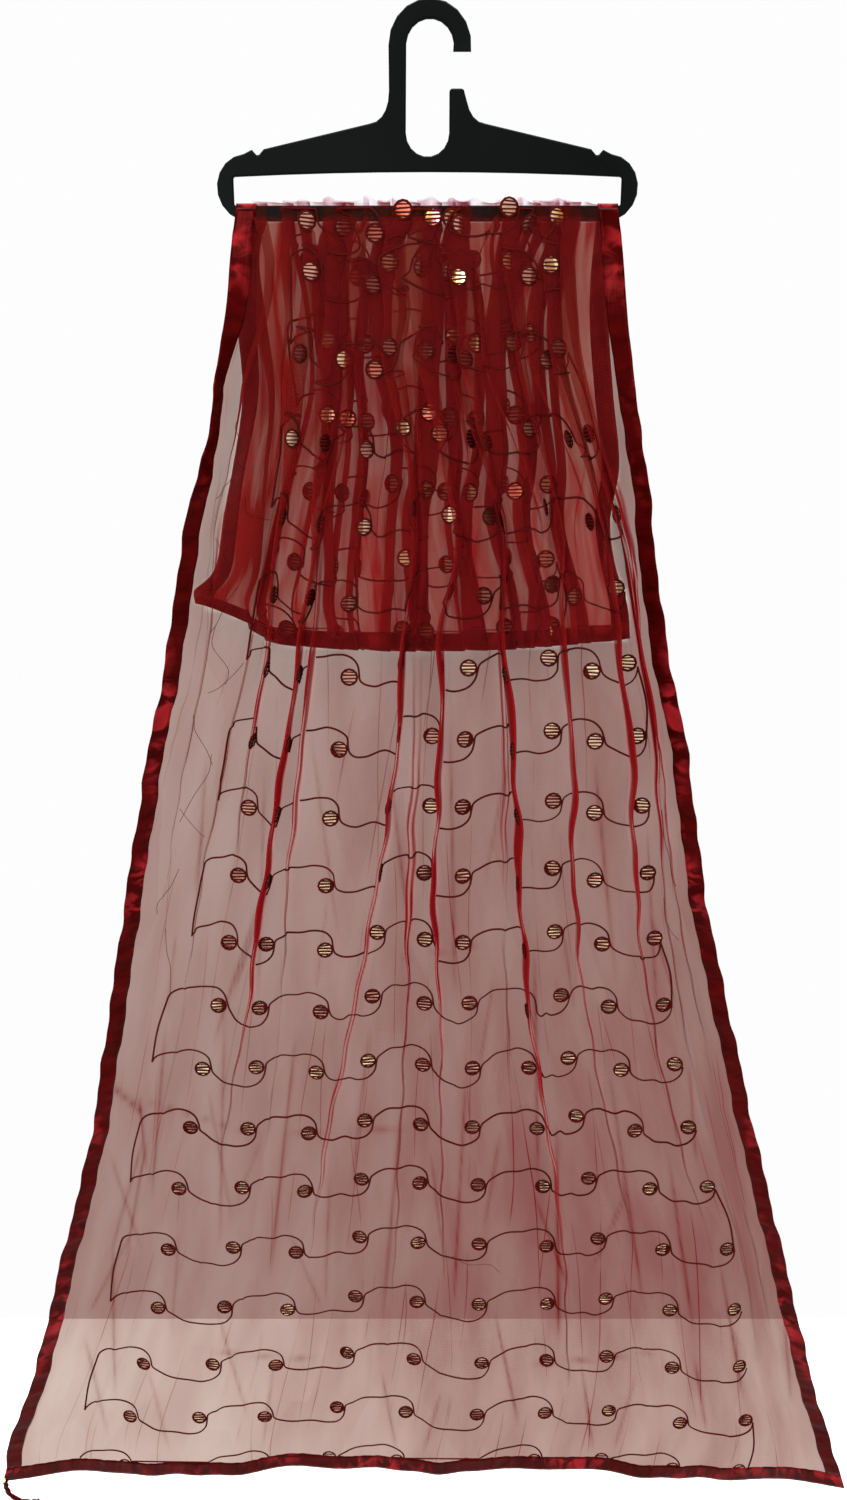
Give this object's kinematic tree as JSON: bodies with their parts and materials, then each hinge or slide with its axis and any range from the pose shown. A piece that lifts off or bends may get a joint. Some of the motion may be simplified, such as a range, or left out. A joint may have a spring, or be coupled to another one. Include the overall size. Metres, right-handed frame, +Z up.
{
  "type": "dupatta stole on a hanger",
  "caption": "Sheer maroon net dupatta stole with a satin ribbon border and sequin embroidery, folded over the bar of a flat black moulded hanger, long fall in front",
  "frame": {"origin": "the inner top of the hanger's hook, where the rail it hangs on bears", "axes": "+Z up; +X along the hanger's bar, to the right of someone who faces the long fall; -Y on the long fall's side, +Y on the short fall's side"},
  "size_m": [1.089, 0.0552, 1.722],
  "materials": {
    "net": "sheer soft net, matt, dark red where layers lie together",
    "ribbon": "satin ribbon with a soft sheen",
    "hanger": "matt moulded, edges a little glossier"
  },
  "bodies": {
    "root": {"hanger": "hanger", "net_front": "net", "net_top": "net", "net_back": "net", "ribbon_front_left": "ribbon", "ribbon_front_right": "ribbon", "ribbon_top_left": "ribbon", "ribbon_top_right": "ribbon", "ribbon_back_left": "ribbon", "ribbon_back_right": "ribbon", "hem_front": "ribbon", "hem_back": "ribbon", "ribbon_tail": "ribbon"}
  },
  "joints": []
}
